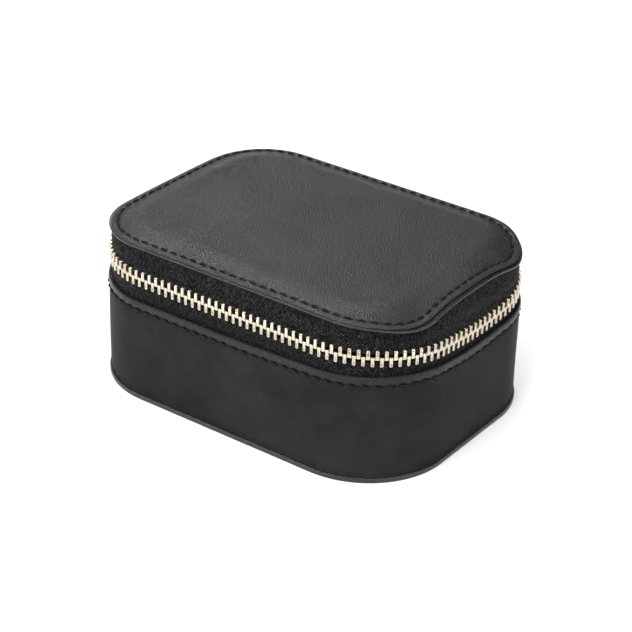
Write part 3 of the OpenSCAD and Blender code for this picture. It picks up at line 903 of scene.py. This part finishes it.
def make_linings():
    """Velvet on the tray's walls, rolled over the lip, and on the inside of the lid."""
    outline = (WALL_L, WALL_W, WALL_R)
    gap, skin, overlap = 0.03 * MM, 0.3 * MM, 3 * MM
    top, out, tucked, back = LIP_TOP + 0.35 * MM, LIP_OUT - skin, LIP_OUT - gap, LIP_IN + gap
    section = [(LINING_IN, LINING_Z), (LINING_IN, top, 0.7 * MM), (out, top, 0.45 * MM),
               (out, LIP_TOP - overlap), (tucked, LIP_TOP - overlap), (tucked, LIP_TOP + gap),
               (back, LIP_TOP + gap), (back, LINING_Z)]

    def soften(points, s):
        points[:, :, 2] += wrinkle(points, 0.05 * MM, 1.0) * (points[:, :, 2] > LIP_TOP)
        return points

    section = dense(rounded_profile(section, 0.1 * MM, 5), 1.2 * MM)
    wall = sweep("lining_wall_velvet", outline, section, 640, warp=soften)
    finish_piece(wall, "base", "velvet", VELVET, "lining_wall")
    middle, edge = 24 * MM, LIP_IN + 0.1 * MM
    section = [(middle, FLOOR_Z), (edge, FLOOR_Z), (edge, LINING_Z - 0.35 * MM),
               (LIP_IN + 0.4 * MM, LINING_Z - 0.1 * MM), (LIP_IN + 0.9 * MM, LINING_Z), (middle, LINING_Z)]
    floor = sweep("lining_floor_velvet", outline, section, 400, fan=True)
    finish_piece(floor, "base", "velvet", VELVET, "lining_floor")
    outline = (LID_L, LID_W, LID_R)
    face, fold = LID_WALL_IN + 0.8 * MM, LID_WALL_Z - 0.35 * MM
    out, tucked, back = LID_WALL_OUT - skin, LID_WALL_OUT - gap, LID_WALL_IN + gap
    section = [(face, LID_LINING_Z), (face, fold, 0.6 * MM), (out, fold, 0.45 * MM),
               (out, LID_WALL_Z + overlap), (tucked, LID_WALL_Z + overlap), (tucked, LID_WALL_Z - gap),
               (back, LID_WALL_Z - gap), (back, LID_LINING_Z)]
    section = dense(rounded_profile(section[::-1], 0.1 * MM, 5), 1.2 * MM)
    wall = sweep("lid_lining_wall_velvet", outline, section, 640, warp=hang)
    finish_piece(wall, "lid", "velvet", VELVET, "lid_lining_wall")
    edge = LID_WALL_IN + 0.05 * MM
    section = [(middle, LID_BOARD_Z), (edge, LID_BOARD_Z), (edge, LID_LINING_Z + 0.4 * MM),
               (LID_WALL_IN + 0.9 * MM, LID_LINING_Z + 0.1 * MM), (LID_WALL_IN + 1.5 * MM, LID_LINING_Z),
               (middle, LID_LINING_Z)]
    section = open_line(section, 1.5 * MM)
    roof = sweep("lid_lining_velvet", outline, section[::-1], 400, warp=hang, fan=True)
    finish_piece(roof, "lid", "velvet", VELVET, "lid_lining")


def strip_along(name, start, end, section, count, warp=None):
    """Runs a closed (side, height) cross-section along a straight line, with closed ends."""
    start, end = np.array(start), np.array(end)
    along = (end - start) / np.linalg.norm(end - start)
    side = np.array([along[1], -along[0], 0])
    prof = np.array(section)
    t = np.linspace(0, 1, count + 1)
    centre = start + t[:, None] * (end - start)
    points = centre[:, None, :] + prof[None, :, 0, None] * side
    points[:, :, 2] += prof[None, :, 1]
    if warp:
        points = warp(points, t)
    return new_mesh(name, points.reshape(-1, 3), ring_faces(count + 1, len(prof)))


def make_dividers():
    """Boards covered in velvet, folded over a rounded top edge."""
    for node, name in (("divider_long", "divider_long_velvet"), ("divider_cross", "divider_cross_velvet")):
        low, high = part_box(node)
        middle = (low + high) / 2
        if node == "divider_long":
            start, end, width = (middle.x, high.y, 0), (middle.x, low.y, 0), high.x - low.x
        else:
            start, end, width = (low.x, middle.y, 0), (high.x, middle.y, 0), high.y - low.y
        w, fold_r = width / 2, 0.95 * MM
        section = [(-w, low.z), (-w, high.z, fold_r), (w, high.z, fold_r), (w, low.z)]
        section = dense(rounded_profile(section, 0.1 * MM, 6), 0.8 * MM)

        def soften(points, t):
            near_top = points[:, :, 2] > high.z - 2 * MM
            points[:, :, 2] += wrinkle(points, 0.12 * MM, w) * near_top - 0.06 * MM
            return points

        board = strip_along(name, start, end, section, 90, soften)
        finish_piece(board, "base", "velvet", VELVET, node)


def roll_mesh(name, low, high):
    """A stuffed roll: flat foot, round back, ends drawn in to a gathered seam."""
    radius = (high.y - low.y) / 2
    mid_y, top_z = (low.y + high.y) / 2, high.z - radius
    foot, seam_z, side_z = low.z, low.z + 0.2 * MM - top_z, low.z + 1.2 * MM - top_z
    ring = [(-0.86, seam_z)]
    ring += [(-1, t) for t in np.linspace(side_z, 0, 7)]
    ring += [(-math.cos(a), radius * math.sin(a)) for a in np.linspace(0, math.pi, 25)[1:-1]]
    ring += [(1, t) for t in np.linspace(0, side_z, 7)]
    ring += [(0.86, seam_z)]
    prof = np.array([(x * radius, z) for x, z in ring])
    m = len(prof)
    count = 60
    cap = 2.2 * MM
    middle_z = (foot - top_z + radius) / 2
    rows = []
    for i in range(count + 1):
        x = low.x + (high.x - low.x) * (0.5 - 0.5 * math.cos(math.pi * i / count))
        near = min(x - low.x, high.x - x) / cap
        swell = math.sqrt(max(0.0, 1 - (1 - min(near, 1)) ** 2))
        spread = prof.copy()
        spread[:, 0] *= (0.72 + 0.28 * swell) * 0.985
        spread[:, 1] = middle_z + (spread[:, 1] - middle_z) * (0.80 + 0.20 * swell)
        gather = (1 - swell) * 0.22 * MM
        angle = np.arctan2(spread[:, 1] - middle_z, spread[:, 0])
        spread *= 1 + (gather * np.cos(13 * angle) / radius)[:, None]
        rows.append(np.c_[np.full(m, x), mid_y + spread[:, 0], top_z + spread[:, 1]])
    points = np.stack(rows)
    bulge = wrinkle(points, 0.16 * MM, seed=mid_y * 900)
    away = points - np.array([0, mid_y, (foot + high.z) / 2])
    away[..., 0] = 0
    away /= np.maximum(np.linalg.norm(away, axis=2, keepdims=True), 1e-6)
    points += away * bulge[..., None]
    points[..., 1] = np.clip(points[..., 1], low.y, high.y)
    points[..., 2] = np.clip(points[..., 2], foot, high.z)
    faces = []
    for here in range(0, count * m, m):
        there = here + m
        faces += [(here + j, there + j, there + (j + 1) % m, here + (j + 1) % m) for j in range(m)]
    hub = (count + 1) * m
    faces += [(j, (j + 1) % m, hub) for j in range(m)]
    faces += [(hub + 1, count * m + (j + 1) % m, count * m + j) for j in range(m)]
    hubs = [points[0].mean(axis=0), points[-1].mean(axis=0)]
    return new_mesh(name, np.concatenate([points.reshape(-1, 3), hubs]), faces)


def make_rolls():
    """The row of ring cushions, one for each roll in the frame."""
    for name in sorted(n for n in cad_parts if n.startswith("ring_roll_")):
        low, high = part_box(name)
        roll = roll_mesh(name.replace("ring_roll", "ring_cushion"), low, high)
        finish_piece(roll, "base", "velvet", VELVET, name)


def make_mirror_frame():
    """A stitched leather surround that holds the mirror's edge."""
    low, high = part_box("mirror_frame")
    glass_low, glass_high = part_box("mirror")
    length, width = high.x - low.x, high.y - low.y
    band = high.x - glass_high.x
    radius = 6 * MM + band
    seam_in = 1.3 * MM
    outline = (length, width, radius)
    section = dense(rounded_profile([(0.0, high.z), (0.0, low.z, 0.7 * MM), (band, low.z, 0.5 * MM),
                                     (band, glass_low.z, 0.1 * MM), (band, high.z)], 0.1 * MM, 5), 0.7 * MM)

    def draw_in(points, s):
        seam = bell(inset_from(points[..., 0], points[..., 1], *outline) - seam_in, 0.35 * MM)
        points[:, :, 2] += 0.16 * MM * seam * (points[:, :, 2] < glass_low.z)
        return points

    surround = sweep("mirror_surround", outline, section, 480, warp=draw_in)
    finish_piece(surround, "lid", "leather_edge", LEATHER_EDGE, "mirror_frame")
    seam = (length - 2 * seam_in, width - 2 * seam_in, radius - seam_in)
    places = edge_places(seam, low.z + 0.08 * MM, 2.6 * MM, 1.9 * MM, flat=True)
    places = [(p, along, Vector((0, 0, -1)), l) for p, along, _, l in places]
    stitches("mirror_thread", places, "lid")


# ---- Hinge ----

def make_hinge():
    """The leather strip at the back that the lid turns on, and the velvet that bridges the gap inside."""
    half = TAPE_T / 2
    run = (-HINGE_HALF + 0.1 * MM, HINGE_HALF - 0.1 * MM)
    seam_in = 1.6 * MM
    lean_y = 1 * MM + (WALL_W - LID_W) / 2 - LEATHER_T
    points = [(half, TAPE_FOOT), (half, BEND_Z), (lean_y + half, UNDER_FOOT), (lean_y - half, UNDER_FOOT),
              (-half, BEND_Z), (-half, TAPE_FOOT)]
    section = dense(rounded_profile(points, 0.15 * MM, 3), 0.35 * MM)

    def crease(p, s):
        """A soft crease where the strip bends, and a dip along each end's stitches."""
        fold = bell(p[:, :, 2] - ZIP_MID, 0.7 * MM)
        seam = bell(np.abs(p[:, :, 0]) - HINGE_HALF + seam_in, 0.5 * MM)
        wave = 0.05 * MM * np.sin(p[:, :, 0] * 700) * np.sin(p[:, :, 2] * 500)
        p[:, :, 1] -= 0.22 * MM * fold + 0.12 * MM * seam + wave
        return p

    strip = sweep("hinge_strip", CHAIN, section, 160, span=run, warp=crease)
    bend_half = 2.2 * MM
    bend = dict(start=(0, WALL_W / 2, ZIP_MID - bend_half), end=(0, WALL_W / 2, ZIP_MID + bend_half))
    across_joint(strip, "leather_edge", LEATHER_EDGE, bend, "hinge_leather")
    places = []
    up, back = Vector((0, 0, 1)), Vector((0, 1, 0))
    for x in (-HINGE_HALF + seam_in, HINGE_HALF - seam_in):
        for k in range(4):
            middle = Vector((x, WALL_W / 2 - LEATHER_T, WALL_TOP + 1.6 * MM + k * STITCH_PITCH * 0.9))
            places.append((middle, up, back, STITCH_L * 0.9))
    thread = stitches("hinge_thread", places, "base")
    thread.parent = None
    across_joint(thread, "thread", THREAD, bend)
    face = WALL_W / 2 - LINING_IN
    low, high, t = LIP_TOP - 3 * MM, LID_WALL_Z + 3 * MM, 0.5 * MM
    section = [(-t / 2, low), (-t / 2, high), (t / 2, high), (t / 2, low)]
    section = dense(rounded_profile(section, 0.2 * MM, 3), 0.3 * MM)
    line_y = face - 0.3 * MM
    gusset = strip_along("hinge_velvet", (-HINGE_HALF, line_y, 0), (HINGE_HALF, line_y, 0), section, 120)
    bend = dict(start=(0, face, LIP_TOP - 1.5 * MM), end=(0, face, LID_WALL_Z + 1.5 * MM))
    across_joint(gusset, "velvet", VELVET, bend, "hinge_lining")


def across_joint(obj, slot, material, bend, *nodes):
    """A finished piece that rides on no body: it gets its material, its place is fixed in the world and its
    CAD nodes are hidden.
    """
    obj.data.materials.clear()
    obj.data.materials.append(material)
    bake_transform(obj)
    if nodes:
        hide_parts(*nodes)


def keep(nodes, material, bevel=0.0):
    """CAD nodes whose shape is right: a proper material, and soft edges where they are hard."""
    for name in nodes:
        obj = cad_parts[name]
        obj.data.materials.clear()
        obj.data.materials.append(material)
        if bevel:
            edge = obj.modifiers.new("soft_edges", "BEVEL")
            edge.width, edge.segments = bevel, 3
            edge.limit_method, edge.angle_limit = "ANGLE", math.radians(35)
            edge.harden_normals = True


make_wall()
make_lid()
make_tapes()
make_teeth()
make_linings()
make_dividers()
make_rolls()
make_mirror_frame()
make_hinge()
keep(["zip_bottom_stop", "zip_top_stop_base", "zip_top_stop_lid", "slider_body", "slider_bail", "pull_link",
      "pull_tab"], GOLD, 0.18 * MM)
keep(["wall_board", "floor_board"], BOARD)
keep(["ring_base"], VELVET, 0.4 * MM)
keep(["mirror"], MIRROR, 0.12 * MM)


# ---- Floor, light and camera ----

def make_stage():
    """A wide sheet of pale paper."""
    r = 4
    floor = new_mesh("floor", [(-r, -r, 0), (r, -r, 0), (r, r, 0), (-r, r, 0)], [(0, 1, 2, 3)],
                     shade_smooth=False)
    sh = Shader("floor_paper", Roughness=0.9, Specular_IOR_Level=0.1)
    sh.color(sh.mix(sh.noise(sh.place(), 30, 2), (0.93, 0.93, 0.93), (0.95, 0.95, 0.95)))
    floor.data.materials.append(sh.material)


def area_light(name, at, aim_z, size, power):
    """A round lamp that points at the case's middle, at height aim_z."""
    light = bpy.data.lights.new(name, "AREA")
    light.shape, light.size, light.energy = "DISK", size, power
    obj = bpy.data.objects.new(name, light)
    obj.location = at
    obj.rotation_mode = "QUATERNION"
    obj.rotation_quaternion = (Vector((0, 0, aim_z)) - Vector(at)).to_track_quat("-Z", "Y")
    bpy.context.scene.collection.objects.link(obj)


def make_lights():
    """Soft light from above, and smaller lamps round the case for the edges and the metal."""
    bpy.context.scene.view_settings.view_transform = "Standard"
    world = bpy.data.worlds.new("studio")
    world.use_nodes = True
    background = world.node_tree.nodes["Background"]
    background.inputs["Color"].default_value = (1, 1, 1, 1)
    background.inputs["Strength"].default_value = 0.05
    bpy.context.scene.world = world
    area_light("overhead", (0.05, 0.0, 1.1), 0.04, size=1.5, power=14)
    area_light("left", (-0.80, 0.66, 0.52), 0.04, size=0.35, power=3.3)
    area_light("front", (-0.40, -0.86, 0.42), 0.03, size=0.45, power=9)
    area_light("side", (0.95, -0.15, 0.36), 0.03, size=0.40, power=5.5)
    area_light("high", (0.1, -0.6, 0.9), 0.03, size=0.4, power=4)


def make_camera(azimuth, elevation, distance, lens, target, roll):
    """A camera on a sphere round the target, turned by roll about its own axis; angles in degrees."""
    a, e, r = (math.radians(v) for v in (azimuth, elevation, roll))
    back = Vector((math.sin(a) * math.cos(e), -math.cos(a) * math.cos(e), math.sin(e)))
    right = Vector((math.cos(a), math.sin(a), 0))
    up = back.cross(right)
    rolled_right = right * math.cos(r) + up * math.sin(r)
    rolled_up = up * math.cos(r) - right * math.sin(r)
    data = bpy.data.cameras.new("camera")
    data.lens, data.sensor_width = lens, 36
    data.clip_start, data.clip_end = 0.01, 20
    cam = bpy.data.objects.new("camera", data)
    turn = Matrix((rolled_right, rolled_up, back)).transposed().to_4x4()
    cam.matrix_world = Matrix.Translation(Vector(target) + back * distance) @ turn
    bpy.context.scene.collection.objects.link(cam)
    bpy.context.scene.camera = cam


make_stage()
make_lights()
make_camera(azimuth=35.8, elevation=28.85, distance=0.550, lens=113.1, target=(0.00884, -0.01043, 0.0275),
            roll=1.56)
